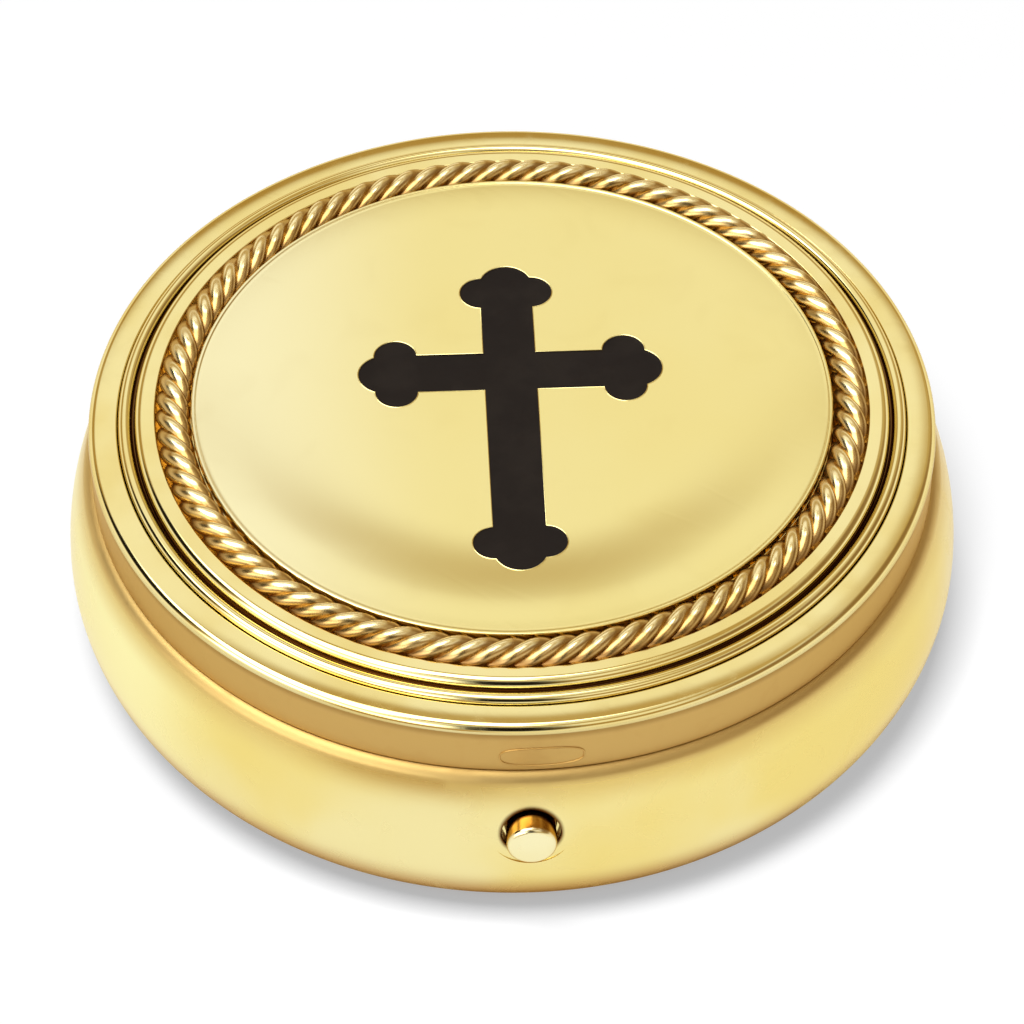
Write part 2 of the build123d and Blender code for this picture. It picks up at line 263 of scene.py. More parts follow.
def node_group(name, inputs, outputs):
    """An empty shader group with named inputs (with their defaults) and outputs."""
    group = bpy.data.node_groups.new(name, "ShaderNodeTree")
    for label, kind, default in inputs:
        socket = group.interface.new_socket(label, in_out="INPUT", socket_type=kind)
        socket.default_value = default
    for label, kind in outputs:
        group.interface.new_socket(label, in_out="OUTPUT", socket_type=kind)
    return group, group.nodes.new("NodeGroupInput"), group.nodes.new("NodeGroupOutput")


def put(tree, kind, links=None, **settings):
    """Adds a node, sets its properties, and sets or links its inputs by name or number."""
    node = tree.nodes.new(kind)
    for key, value in settings.items():
        setattr(node, key, value)
    for key, value in (links or {}).items():
        socket = node.inputs[key]
        if isinstance(value, bpy.types.NodeSocket):
            tree.links.new(value, socket)
        else:
            socket.default_value = value
    return node


def math_node(tree, operation, *values):
    return put(tree, "ShaderNodeMath", dict(enumerate(values)), operation=operation).outputs[0]


def times(tree, first, second):
    return math_node(tree, "MULTIPLY", first, second)


def spread(tree, value, low, high, to_low=0.0, to_high=1.0):
    """The value between low and high, eased over to_low to to_high."""
    links = {0: value, 1: low, 2: high, 3: to_low, 4: to_high}
    return put(tree, "ShaderNodeMapRange", links, interpolation_type="SMOOTHSTEP").outputs[0]


def window(tree, value, low, high, soft):
    """1 between low and high and 0 outside, with soft ends."""
    rise = spread(tree, value, low - soft, low + soft)
    fall = spread(tree, value, high - soft, high + soft, 1.0, 0.0)
    return times(tree, rise, fall)


def mixed(tree, share, first, second):
    """The first colour, giving way to the second by the share."""
    links = {0: share, 6: first, 7: second}
    return put(tree, "ShaderNodeMix", links, data_type="RGBA").outputs[2]


def noise(tree, place, scale, detail, distortion=0.0):
    links = {"Vector": place, "Scale": scale, "Detail": detail, "Distortion": distortion}
    return put(tree, "ShaderNodeTexNoise", links).outputs[0]


def axes(tree, place):
    """The x, y and z of a place, in metres."""
    return put(tree, "ShaderNodeSeparateXYZ", {0: place}).outputs


def distance_from(tree, first, second):
    """Distance from the point where both coordinates are 0."""
    squares = times(tree, first, first), times(tree, second, second)
    return math_node(tree, "SQRT", math_node(tree, "ADD", *squares))


# ---------------------------------------------------------------- effects shared by the finishes

# Each way that scratches run: its turn in radians, and how much longer than wide they are
SCRATCH_WAYS = ((0.5, 14.0), (-0.9, 22.0), (2.1, 30.0))
# The levels of noise between which each effect sets in
SCRATCHES_FROM = (0.62, 0.72)
PATCHES_FROM = (0.35, 0.65)
SMUDGES_FROM = (0.5, 0.7)
SMUDGES_QUICKER = 4.0
PITLESS_SHARE = 0.8


def make_hairlines():
    """Fine crossing scratches: a height from noise stretched in three directions."""
    group, given, result = node_group(
        "Hairline scratches",
        [("Vector", "NodeSocketVector", (0, 0, 0)), ("Fineness", "NodeSocketFloat", 900.0)],
        [("Height", "NodeSocketFloat")],
    )
    height = 0.0
    for angle, stretch in SCRATCH_WAYS:
        links = {"Vector": given.outputs["Vector"], "Angle": angle}
        along = put(group, "ShaderNodeVectorRotate", links, rotation_type="Z_AXIS").outputs[0]
        links = {0: along, 1: (1.0, 1.0 / stretch, 1.0)}
        stretched = put(group, "ShaderNodeVectorMath", links, operation="MULTIPLY").outputs[0]
        lines = noise(group, stretched, given.outputs["Fineness"], 2.0)
        lines = spread(group, lines, *SCRATCHES_FROM)
        height = math_node(group, "ADD", height, lines)
    group.links.new(height, result.inputs["Height"])
    return group


def make_pits():
    """Small scattered pits and specks: 1 in a pit, 0 elsewhere."""
    group, given, result = node_group(
        "Pits",
        [
            ("Vector", "NodeSocketVector", (0, 0, 0)),
            ("Spacing", "NodeSocketFloat", 350.0),
            ("Size", "NodeSocketFloat", 0.03),
        ],
        [("Mask", "NodeSocketFloat")],
    )
    links = {"Vector": given.outputs["Vector"], "Scale": given.outputs["Spacing"]}
    cells = put(group, "ShaderNodeTexVoronoi", links)
    number = put(group, "ShaderNodeSeparateColor", {0: cells.outputs["Color"]}).outputs[0]
    inside = math_node(group, "LESS_THAN", cells.outputs["Distance"], given.outputs["Size"])
    chosen = math_node(group, "GREATER_THAN", number, PITLESS_SHARE)
    group.links.new(times(group, inside, chosen), result.inputs["Mask"])
    return group


def make_tone():
    """Slow patches of tone for gilding that varies a little, and quicker smudges of handling."""
    group, given, result = node_group(
        "Gilding tone",
        [("Vector", "NodeSocketVector", (0, 0, 0)), ("Size", "NodeSocketFloat", 120.0)],
        [("Patches", "NodeSocketFloat"), ("Smudges", "NodeSocketFloat")],
    )
    place, size = given.outputs["Vector"], given.outputs["Size"]
    slow = noise(group, place, size, 3.0)
    quick = noise(group, place, times(group, size, SMUDGES_QUICKER), 5.0, distortion=1.0)
    group.links.new(spread(group, slow, *PATCHES_FROM), result.inputs["Patches"])
    group.links.new(spread(group, quick, *SMUDGES_FROM), result.inputs["Smudges"])
    return group


HAIRLINES = make_hairlines()
PITS = make_pits()
TONE = make_tone()


def effect(tree, group, **values):
    """A shared effect, as a node in a material's tree."""
    return put(tree, "ShaderNodeGroup", values, node_tree=group)


# ---------------------------------------------------------------- masks, for zones of a finish

BUTTON_LEVEL = 10.0
GROOVE_SHADE = 0.12
HOLE_SHADE = (1.74, 2.02)
BUTTON_SHADE = (-27.9, -27.5)


def heights(low, high, soft):
    """A mask of the heights between low and high."""

    def mask(tree, place):
        return window(tree, axes(tree, place)[2], low * MM, high * MM, soft * MM)

    return mask


def painted_light_left_of(start, full):
    """A mask of painted light that sets in at one x and is full at another, further left."""

    def mask(tree, place):
        return spread(tree, axes(tree, place)[0], start * MM, full * MM)

    return mask


def groove(radius, half, level):
    """A mask of painted shade in a groove round the lid, half its width to each side, below a
    level.
    """

    def mask(tree, place):
        x, y, z = axes(tree, place)
        away = math_node(tree, "SUBTRACT", distance_from(tree, x, y), radius * MM)
        near = math_node(tree, "ABSOLUTE", away)
        near = spread(tree, near, half * 0.5 * MM, half * MM, 1.0, 0.0)
        return times(tree, near, spread(tree, z, level * MM, (level - GROOVE_SHADE) * MM))

    return mask


def painted_shade_in_hole(tree, place):
    """Painted shade: 1 in the button's hole, fading out over its rim."""
    x, y, z = axes(tree, place)
    start, end = HOLE_SHADE
    across = distance_from(tree, x, math_node(tree, "SUBTRACT", z, BUTTON_LEVEL * MM))
    near = spread(tree, across, start * MM, end * MM, 1.0, 0.0)
    return times(tree, near, spread(tree, y, -10 * MM, -11 * MM))


def behind_the_face(tree, place):
    """1 on the button's side, which the hole behind it shades."""
    start, end = BUTTON_SHADE
    return spread(tree, axes(tree, place)[1], start * MM, end * MM)


# ---------------------------------------------------------------- the finishes

SCRATCH_STRENGTH = 0.3
SCRATCH_DEPTH = 0.002
PIT_SHADE = 0.55
GRAIN_SCALE = 9000.0
DISH_FRONT = (4, -12)


def new_finish(name):
    """A material with one Principled shader, and its tree, shader and object coordinates."""
    finish = bpy.data.materials.new(name)
    finish.use_nodes = True
    tree = finish.node_tree
    tree.nodes.clear()
    shader = tree.nodes.new("ShaderNodeBsdfPrincipled")
    output = tree.nodes.new("ShaderNodeOutputMaterial")
    tree.links.new(shader.outputs[0], output.inputs["Surface"])
    place = tree.nodes.new("ShaderNodeTexCoord").outputs["Object"]
    return finish, tree, shader, place


def curled(tree, place, start, end, rise):
    """Height of a disc that curls up a little towards its front edge, in metres."""
    x, y, _ = axes(tree, place)
    height = spread(tree, distance_from(tree, x, y), start * MM, end * MM, 0.0, rise * MM)
    back, front = DISH_FRONT
    return times(tree, height, spread(tree, y, back * MM, front * MM))


def gilding(
    name, bright, deep, gloss, dull, grain=0.0, patch=120.0, grazing=0.8, zones=(), dish=None
):
    """Gilt metal: two tones in patches, a roughness range, pits, scratches and grain.

    A zone is a mask, the colour there and how much rougher it is. Grazing tones down the outline.
    A dish is the radius where a disc starts to curl up, the radius where that ends, and its rise.
    """
    finish, tree, shader, place = new_finish(name)
    tone = effect(tree, TONE, Vector=place, Size=patch)
    colour = mixed(tree, tone.outputs["Patches"], bright, deep)
    rough = spread(tree, tone.outputs["Smudges"], 0.0, 1.0, gloss, dull)
    for mask, tint, rougher in zones:
        covered = mask(tree, place)
        colour = mixed(tree, covered, colour, tint)
        rough = math_node(tree, "ADD", rough, times(tree, covered, rougher))
    pits = effect(tree, PITS, Vector=place).outputs[0]
    # Pits and specks are darker: dark specks, and painted shade in the pits.
    colour = mixed(tree, pits, colour, [c * PIT_SHADE for c in deep[:3]] + [1])
    tree.links.new(colour, shader.inputs["Base Color"])
    tree.links.new(rough, shader.inputs["Roughness"])
    shader.inputs["Metallic"].default_value = 1.0
    shader.inputs["Specular Tint"].default_value = (grazing, grazing**2, grazing**4, 1)
    relief = times(tree, effect(tree, HAIRLINES, Vector=place).outputs[0], -1.0)
    if grain:
        fine = times(tree, noise(tree, place, GRAIN_SCALE, 1.0), grain)
        relief = math_node(tree, "ADD", relief, fine)
    links = {"Height": relief, "Strength": SCRATCH_STRENGTH, "Distance": SCRATCH_DEPTH * MM}
    bump = put(tree, "ShaderNodeBump", links)
    if dish:
        links = {"Height": curled(tree, place, *dish), "Distance": 1.0}
        curl = put(tree, "ShaderNodeBump", links)
        tree.links.new(curl.outputs[0], bump.inputs["Normal"])
    tree.links.new(bump.outputs[0], shader.inputs["Normal"])
    return finish


def black_filling():
    """Nearly black enamel with a faint grain."""
    finish, tree, shader, place = new_finish("Black enamel")
    tone = effect(tree, TONE, Vector=place, Size=400.0)
    blacks = (0.009, 0.006, 0.005, 1), (0.014, 0.010, 0.008, 1)
    tree.links.new(mixed(tree, tone.outputs["Patches"], *blacks), shader.inputs["Base Color"])
    rough = spread(tree, tone.outputs["Smudges"], 0.0, 1.0, 0.38, 0.5)
    tree.links.new(rough, shader.inputs["Roughness"])
    shader.inputs["Specular IOR Level"].default_value = 0.13
    fine = noise(tree, place, 6000.0, 2.0)
    bump = put(tree, "ShaderNodeBump", {"Height": fine, "Strength": 0.3, "Distance": 0.004 * MM})
    tree.links.new(bump.outputs[0], shader.inputs["Normal"])
    return finish


# Painted shade, for the grooves between the lid's mouldings.
SHADED = (0.16, 0.08, 0.025, 1)
POLISHED = gilding("Polished gilding", (0.88, 0.76, 0.34, 1), (0.84, 0.69, 0.27, 1), 0.10, 0.17)
LID_GILDING = gilding(
    "Lid gilding",
    (0.90, 0.79, 0.38, 1),
    (0.84, 0.69, 0.27, 1),
    0.09,
    0.15,
    grazing=0.85,
    zones=(
        (heights(10.0, 17.0, 0.05), (0.60, 0.39, 0.125, 1), 0.32),
        # Painted shade: the band darkens just under the outer ring's overhang.
        (heights(16.75, 17.03, 0.4), (0.30, 0.16, 0.04, 1), 0.0),
        # Painted shade in the grooves beside the bead.
        (groove(23.76, 0.26, 17.68), SHADED, 0.1),
        (groove(22.78, 0.30, 17.98), SHADED, 0.1),
    ),
)
BOWL_GILDING = gilding(
    "Bowl gilding",
    (0.88, 0.77, 0.37, 1),
    (0.86, 0.69, 0.22, 1),
    0.25,
    0.32,
    grain=0.2,
    patch=65.0,
    grazing=0.93,
    zones=(
        # Painted light: the bowl is paler towards its left.
        (painted_light_left_of(-17, -24), (0.98, 0.91, 0.45, 1), 0.0),
        # Painted shade: the bowl darkens towards the seam, darker still and rougher just under it.
        (heights(12.5, 20.0, 1.2), (0.74, 0.55, 0.18, 1), 0.0),
        (heights(13.35, 20.0, 0.3), (0.60, 0.42, 0.15, 1), 0.2),
        # Painted shade in the button's hole.
        (painted_shade_in_hole, (0.16, 0.07, 0.015, 1), 0.0),
    ),
)
SATIN = gilding(
    "Satin gilding", (0.88, 0.78, 0.37, 1), (0.86, 0.74, 0.32, 1), 0.2, 0.25, grain=0.6
)
PLATE_GILDING = gilding(
    "Plate gilding",
    (0.90, 0.79, 0.35, 1),
    (0.89, 0.77, 0.32, 1),
    0.185,
    0.205,
    grain=0.6,
    patch=60.0,
    # Painted reflection: the plate is paler towards its left.
    zones=((painted_light_left_of(-3, -17), (0.96, 0.90, 0.56, 1), 0.0),),
    dish=(10.8, 18.4, 0.53),
)
BUTTON_GILDING = gilding(
    "Button gilding",
    (0.93, 0.86, 0.52, 1),
    (0.90, 0.80, 0.42, 1),
    0.2,
    0.28,
    zones=((behind_the_face, (0.50, 0.27, 0.07, 1), -0.1),),
)
# The rope's gilding is painted brown for the shade between its strands.
ROPE_GILDING = gilding(
    "Rope gilding",
    (0.62, 0.43, 0.17, 1),
    (0.52, 0.34, 0.11, 1),
    0.26,
    0.36,
    zones=(
        # Painted highlight on the strands' crests.
        (heights(19.17, 20.0, 0.05), (1.0, 0.88, 0.50, 1), -0.05),
        # Painted shade on the rope's lower part.
        (heights(17.0, 18.72, 0.25), (0.30, 0.16, 0.05, 1), 0.05),
    ),
)
SPRING = gilding("Spring strip", (0.70, 0.62, 0.42, 1), (0.60, 0.50, 0.32, 1), 0.2, 0.35)
ENAMEL = black_filling()

# ---------------------------------------------------------------- the bowl

BELLY = 27.0
BELLY_HEIGHT = 7.9
FOOT = BELLY - BELLY_HEIGHT
SHOULDER = 25.75
SEAM = 13.9
CREASE_ROUND = 0.85
WALL = 0.7
RIM = 25.4
MOUTH = RIM - 0.7
MOUTH_LIP = 0.8
INNER_WALL_TOP = 0.3  # as an angle about the belly's centre, in radians
HOLE = 1.71
HOLE_ROUND = 0.2
HOLE_ROUND_AT = 26.62


def make_bowl():
    rise = SEAM - BELLY_HEIGHT
    radius = ((BELLY - SHOULDER) ** 2 + rise**2) / (2 * (BELLY - SHOULDER))
    centre = BELLY - radius
    round_up = rise - CREASE_ROUND
    round_across = math.sqrt((radius - CREASE_ROUND) ** 2 - round_up**2)
    join = math.degrees(math.atan2(round_up, round_across))
    inner_across = (radius - WALL) * math.cos(INNER_WALL_TOP)
    inner_up = (radius - WALL) * math.sin(INNER_WALL_TOP)
    outside = [
        line_to(FOOT, 0),
        arc_about(FOOT, BELLY_HEIGHT, -90),
        arc_about(centre, BELLY_HEIGHT, -join),
        arc_about(centre + round_across, BELLY_HEIGHT + round_up, join - 90),
    ]
    inside = [
        line_to(MOUTH, SEAM),
        line_to(MOUTH, SEAM - MOUTH_LIP),
        line_to(centre + inner_across, BELLY_HEIGHT + inner_up),
        arc_about(centre, BELLY_HEIGHT, math.degrees(INNER_WALL_TOP)),
        arc_about(FOOT, BELLY_HEIGHT, 90),
        line_to(0, WALL),
    ]
    return turned("bowl_spun", (0, 0), outside + inside, step=3)


def stood_forward(piece):
    """Lays a turned piece over, so that its axis is the button's."""
    piece.rotation_euler = (math.pi / 2, 0, 0)
    piece.location = (0, 0, BUTTON_LEVEL * MM)
    settle(piece)
    return piece


def button_drill():
    """The button's hole with its softened mouth, as a solid to cut with."""
    near, far, wide = 20, 30, 2.4
    strokes = [
        line_to(HOLE, near),
        line_to(HOLE, HOLE_ROUND_AT),
        arc_about(HOLE + HOLE_ROUND, HOLE_ROUND_AT, 80),
        line_to(wide, 26.9),
        line_to(wide, far),
        line_to(0, far),
    ]
    return stood_forward(turned("drill", (0, near), strokes, around=96))


def knuckle_cutter():
    """Room in the shoulder for the lid's knuckle."""
    return rod(1.0, 3.6, (0, 26.4, 14.05), (0, math.pi / 2, 0))


bowl = make_bowl()
cut_away(bowl, button_drill())
cut_away(bowl, knuckle_cutter())
finished(bowl, "base", "polished_gilt", BOWL_GILDING, "bowl")

# ---------------------------------------------------------------- the lid

SKIRT_INSIDE = 24.8
SKIRT_FOOT = 13.96
BAND_TOP = 16.92
RING_TOP = 17.70
BEAD_RING = 23.30
BEAD_LEVEL = 17.70
INNER_TOP = 18.48
CHANNEL = 18.24
PLATE_SEAT = 18.35
PLATE_UNDERSIDE = 17.75


def make_lid():
    """The cap's profile starts in the middle of its inside and goes out round the skirt."""
    inside = [
        line_to(18.7, PLATE_UNDERSIDE),
        line_to(18.7, 16.68),
        line_to(21.84, 16.68),
        line_to(21.84, 17.88),
        line_to(22.28, 17.88),
        line_to(22.28, 16.85),
        line_to(SKIRT_INSIDE - 0.3, 16.85),
        arc_about(SKIRT_INSIDE - 0.3, 16.55, 90),
    ]
    band = [
        line_to(SKIRT_INSIDE, SKIRT_FOOT),
        line_to(RIM - 0.06, SKIRT_FOOT),
        arc_about(RIM - 0.06, SKIRT_FOOT + 0.06, -90),
        line_to(RIM, BAND_TOP),
        arc_about(RIM + 0.1, BAND_TOP, 40),
    ]
    outer_ring = [
        line_to(RIM + 0.1, RING_TOP - 0.632),
        arc_about(RIM - 0.46, RING_TOP - 0.632, -82),
        arc_about(RIM - 1.495, RING_TOP - 8.0, -8),
        line_to(23.86, RING_TOP),
        arc_about(23.86, RING_TOP - 0.1, -80),
    ]
    bead = [
        line_to(BEAD_RING + 0.44, 17.50),
        line_to(BEAD_RING + 0.40, 17.60),
        line_to(BEAD_RING + 0.40, BEAD_LEVEL),
        arc_about(BEAD_RING, BEAD_LEVEL, -180),
        line_to(22.84, 17.66),
        line_to(22.76, 17.66),
    ]
    inner_ring = [
        line_to(22.70, 17.72),
        line_to(22.70, INNER_TOP - 0.55),
        arc_about(22.15, INNER_TOP - 0.55, -90),
        line_to(21.54, INNER_TOP),
        arc_about(21.54, INNER_TOP - 0.12, -90),
    ]
    rope_channel = [
        line_to(21.40, CHANNEL + 0.1),
        line_to(21.20, CHANNEL),
        line_to(19.50, CHANNEL),
        line_to(19.32, CHANNEL + 0.1),
        line_to(19.3, PLATE_SEAT),
        line_to(0, PLATE_SEAT),
    ]
    strokes = inside + band + outer_ring + bead + inner_ring + rope_channel
    return turned("lid_spun", (0, PLATE_UNDERSIDE), strokes)


finished(make_lid(), "lid", "polished_gilt", LID_GILDING, "lid_shell")

# ---------------------------------------------------------------- the plate and its cross

PLATE_FOOT = 18.36
PLATE_SIDE = 19.28
PLATE_TOP = 18.95
PLATE_EDGE = 16.34
PLATE_RIM = 18.98
RIM_FALL = 0.08
RIM_STEPS = 14
POCKET_DEPTH = 0.3
ENAMEL_FOOT = 18.67
ENAMEL_RISE = 0.24


def plate_level(r):
    """Height of the plate's face, which falls away gently towards its rim."""
    return PLATE_TOP - RIM_FALL * max(0.0, (r - PLATE_EDGE) / (PLATE_RIM - PLATE_EDGE)) ** 2


def cross_rim(height):
    """The cross's outline as one closed loop of edges at a height, taken from the inlay's top."""
    rim = welded("cross_inlay", "cross_rim")
    open_up(rim)
    pick(rim, lambda face: face.normal.z < 0.9)
    bpy.ops.mesh.delete(type="FACE")
    bpy.ops.mesh.select_all(action="SELECT")
    bpy.ops.mesh.delete(type="ONLY_FACE")
    close_up()
    for vertex in rim.data.vertices:
        vertex.co.z = height * MM
    return rim


def lathe_disc():
    """The plate as far in as its flat, which stays open."""
    across = PLATE_EDGE - PLATE_RIM
    radii = [PLATE_RIM + across * step / RIM_STEPS for step in range(RIM_STEPS + 1)]
    strokes = [
        line_to(PLATE_SIDE, PLATE_FOOT),
        line_to(PLATE_SIDE, 18.82),
        arc_about(PLATE_SIDE - 0.1, 18.82, -90),
        line_to(19.10, 18.92),
        arc_about(19.10, 18.82, -50),
    ]
    strokes += [line_to(r, plate_level(r)) for r in radii]
    strokes += [line_to(PLATE_EDGE - 0.2, PLATE_TOP)]
    return turned("plate_disc", (0, PLATE_FOOT), strokes, step=10)


def make_pocket():
    """The walls and floor of the cross's pocket."""
    pocket = cross_rim(PLATE_TOP)
    open_up(pocket)
    bpy.ops.mesh.extrude_edges_move(TRANSFORM_OT_translate={"value": (0, 0, -POCKET_DEPTH * MM)})
    bpy.ops.mesh.edge_face_add()
    close_up()
    return pocket


def make_plate():
    """The disc and the pocket, joined by a flat that is filled in between them."""
    disc = lathe_disc()
    pocket = make_pocket()
    alone(disc)
    pocket.select_set(True)
    bpy.ops.object.join()
    top = (PLATE_TOP - 0.001) * MM
    reach = (PLATE_EDGE - 0.1) * MM

    def round_the_flat(edge):
        inside = all(v.co.z > top and v.co.xy.length < reach for v in edge.verts)
        return inside and edge.is_boundary

    open_up(disc)
    pick(disc, round_the_flat, "edges")
    bpy.ops.mesh.fill()
    face_outwards()
    close_up()
    smooth(disc)
    open_up(disc)
    bpy.ops.mesh.select_mode(type="EDGE")
    bpy.ops.mesh.select_all(action="DESELECT")
    bpy.ops.mesh.edges_select_sharp(sharpness=math.radians(SMOOTH_BELOW))
    bpy.ops.mesh.mark_sharp()
    close_up()
    return disc


def make_enamel():
    """The black filling, a touch below the plate, its edge drawn down a little."""
    enamel = cross_rim(ENAMEL_FOOT)
    open_up(enamel)
    bpy.ops.mesh.edge_face_add()
    bpy.ops.mesh.extrude_region_move(TRANSFORM_OT_translate={"value": (0, 0, ENAMEL_RISE * MM)})
    bpy.ops.mesh.inset(thickness=0.05 * MM, depth=0.025 * MM, use_even_offset=True)
    bpy.ops.mesh.inset(thickness=0.09 * MM, depth=0.008 * MM, use_even_offset=True)
    face_outwards()
    close_up()
    enamel.name = "cross_enamel"
    smooth(enamel, 50)
    return enamel


def make_cross_lip():
    """The thin lip that the pressed pocket leaves round the enamel."""
    lip = cross_rim(PLATE_TOP - 0.015)
    lip.name = "cross_lip"
    wired(lip, 0.04)
    return lip


finished(make_plate(), "lid", "satin_gilt", PLATE_GILDING, "lid_plate")
finished(make_enamel(), "lid", "black_enamel", ENAMEL, "cross_inlay")
finished(make_cross_lip(), "lid", "satin_gilt", SATIN)

# ---------------------------------------------------------------- the rope border

ROPE_RING = 20.35
ROPE_LEVEL = 18.25
ROPE_RADIUS = 1.05
ROPE_CRESTS = 84
ROPE_STRANDS = 4
ROPE_FINENESS = 12
STRAND_DEPTH = 0.27
STRAND_FULLNESS = 0.8


def make_rope():
    """The strands' outline is screwed along a straight line, which is then bent into a ring."""
    sides = ROPE_FINENESS * ROPE_STRANDS
    rope = circle("rope_twist", sides, ROPE_RADIUS, rotation=(0, math.pi / 2, 0))
    for vertex in rope.data.vertices:
        turn = math.atan2(vertex.co.z, vertex.co.y)
        swell = abs(math.cos(turn * ROPE_STRANDS / 2)) ** STRAND_FULLNESS
        vertex.co *= 1 - STRAND_DEPTH * (1 - swell)
    turns = ROPE_CRESTS // ROPE_STRANDS
    apply(
        rope,
        "SCREW",
        axis="X",
        angle=-TURN,
        steps=sides,
        render_steps=sides,
        iterations=turns,
        screw_offset=TURN * ROPE_RING / turns * MM,
    )
    apply(rope, "SIMPLE_DEFORM", deform_method="BEND", deform_axis="Z", angle=TURN)
    open_up(rope)
    bpy.ops.mesh.remove_doubles(threshold=0.002 * MM)
    face_outwards()
    close_up()
    rope.location = (0, -ROPE_RING * MM, ROPE_LEVEL * MM)
    settle(rope)
    smooth(rope, 70)
    return rope


finished(make_rope(), "lid", "polished_gilt", ROPE_GILDING, "rope_border")

# ---------------------------------------------------------------- the button and the stamp's place

BUTTON = 1.475
BUTTON_ROUND = 0.35
BUTTON_FACE = 27.94
DOME = 5.33
TAIL_TIP = 22.7
NECK = 0.6
HEAD = 0.95
FLANGE = 1.9
FLANGE_FRONT = 24.6
FLANGE_BACK = 23.95

STAMP_X, STAMP_Z = 0.68, 15.06
STAMP_ACROSS, STAMP_UP = 2.45, 0.72
STAMP_SQUARENESS = 0.7
STAMP_WIRE = 0.055


def make_button():
    """The button from its riveted tail to its slightly domed face."""
    flat = BUTTON - BUTTON_ROUND
    shoulder = BUTTON_FACE - BUTTON_ROUND
    dome = math.degrees(math.asin(flat / DOME))
    strokes = [
        line_to(0.55, TAIL_TIP),
        line_to(HEAD, 22.92),
        line_to(HEAD, 23.0),
        line_to(NECK, 23.0),
        line_to(NECK, FLANGE_BACK),
        line_to(FLANGE, FLANGE_BACK),
        line_to(FLANGE, FLANGE_FRONT),
        line_to(BUTTON, FLANGE_FRONT),
        line_to(BUTTON, shoulder),
        arc_about(flat, shoulder, -90),
        arc_about(0, BUTTON_FACE - DOME * math.cos(math.radians(dome)), -dome),
    ]
    return stood_forward(turned("button_turned", (0, TAIL_TIP), strokes, around=96))


def make_stamp_outline():
    """The thin raised outline of the stamp's place, left blank and bent round the band."""
    outline = circle("stamp_outline", 96, 1, rotation=(math.pi / 2, 0, 0))
    for vertex in outline.data.vertices:
        across, up = vertex.co.x / MM, vertex.co.z / MM
        x = STAMP_X + STAMP_ACROSS * math.copysign(abs(across) ** STAMP_SQUARENESS, across)
        z = STAMP_Z + STAMP_UP * math.copysign(abs(up) ** STAMP_SQUARENESS, up)
        vertex.co = Vector((x, -math.sqrt((RIM + 0.01) ** 2 - x**2), z)) * MM
    wired(outline, STAMP_WIRE)
    return outline


finished(make_button(), "catch", "polished_gilt", BUTTON_GILDING, "push_button")
finished(make_stamp_outline(), "lid", "polished_gilt", LID_GILDING)

# ---------------------------------------------------------------- the spring and the small pieces


def make_spring_arm(name, side):
    """Half of the bow spring, cut off at its middle."""
    arm = eased("catch_spring", name, 0.04)
    open_up(arm)
    bpy.ops.mesh.bisect(
        plane_co=(0, 0, 0),
        plane_no=(-side, 0, 0),
        use_fill=True,
        clear_outer=True,
        clear_inner=False,
    )
    close_up()
    smooth(arm, EASED_SMOOTH_BELOW)
    coat(arm, SPRING)
    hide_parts("catch_spring")
    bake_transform(arm)


make_spring_arm("spring_arm_left", -1)
make_spring_arm("spring_arm_right", 1)

# Pieces that keep their CAD shape: node, name, body, slot, finish and the width of their bevels
for node, name, body, slot, finish, width in (
    ("neck_ring", "neck_collar", "base", "polished_gilt", POLISHED, 0.05),
    ("hinge_base_leaf", "hinge_base", "base", "polished_gilt", POLISHED, 0.06),
    ("hinge_lid_leaf", "hinge_lid", "lid", "polished_gilt", POLISHED, 0.06),
    ("hinge_pin", "hinge_wire", "base", "polished_gilt", POLISHED, 0.04),
    ("button_bush", "bush", "base", "polished_gilt", POLISHED, 0.05),
    ("spring_lug_left", "lug_left", "base", "polished_gilt", POLISHED, 0.05),
    ("spring_lug_right", "lug_right", "base", "polished_gilt", POLISHED, 0.05),
    ("lid_keeper", "keeper_ledge", "lid", "polished_gilt", POLISHED, 0.05),
    ("catch_latch", "latch_strip", "catch", "spring_steel", SPRING, 0.05),
    ("rivet_washer", "washer", "catch", "spring_steel", SPRING, 0.04),
):
    finished(eased(node, name, width), body, slot, finish, node)

# ---------------------------------------------------------------- the floor

FLOOR_RADIUS = 80
FLOOR_WHITE = (0.8, 0.8, 0.8, 1)
FLOOR_LIFT = 0.31
# Radii over which the painted shadow under the box fades out. The metal sees it reach further.
PAINTED_SHADOW_UNDER_BOX = (18, 24)
NEARER_IN_METAL = 5.5


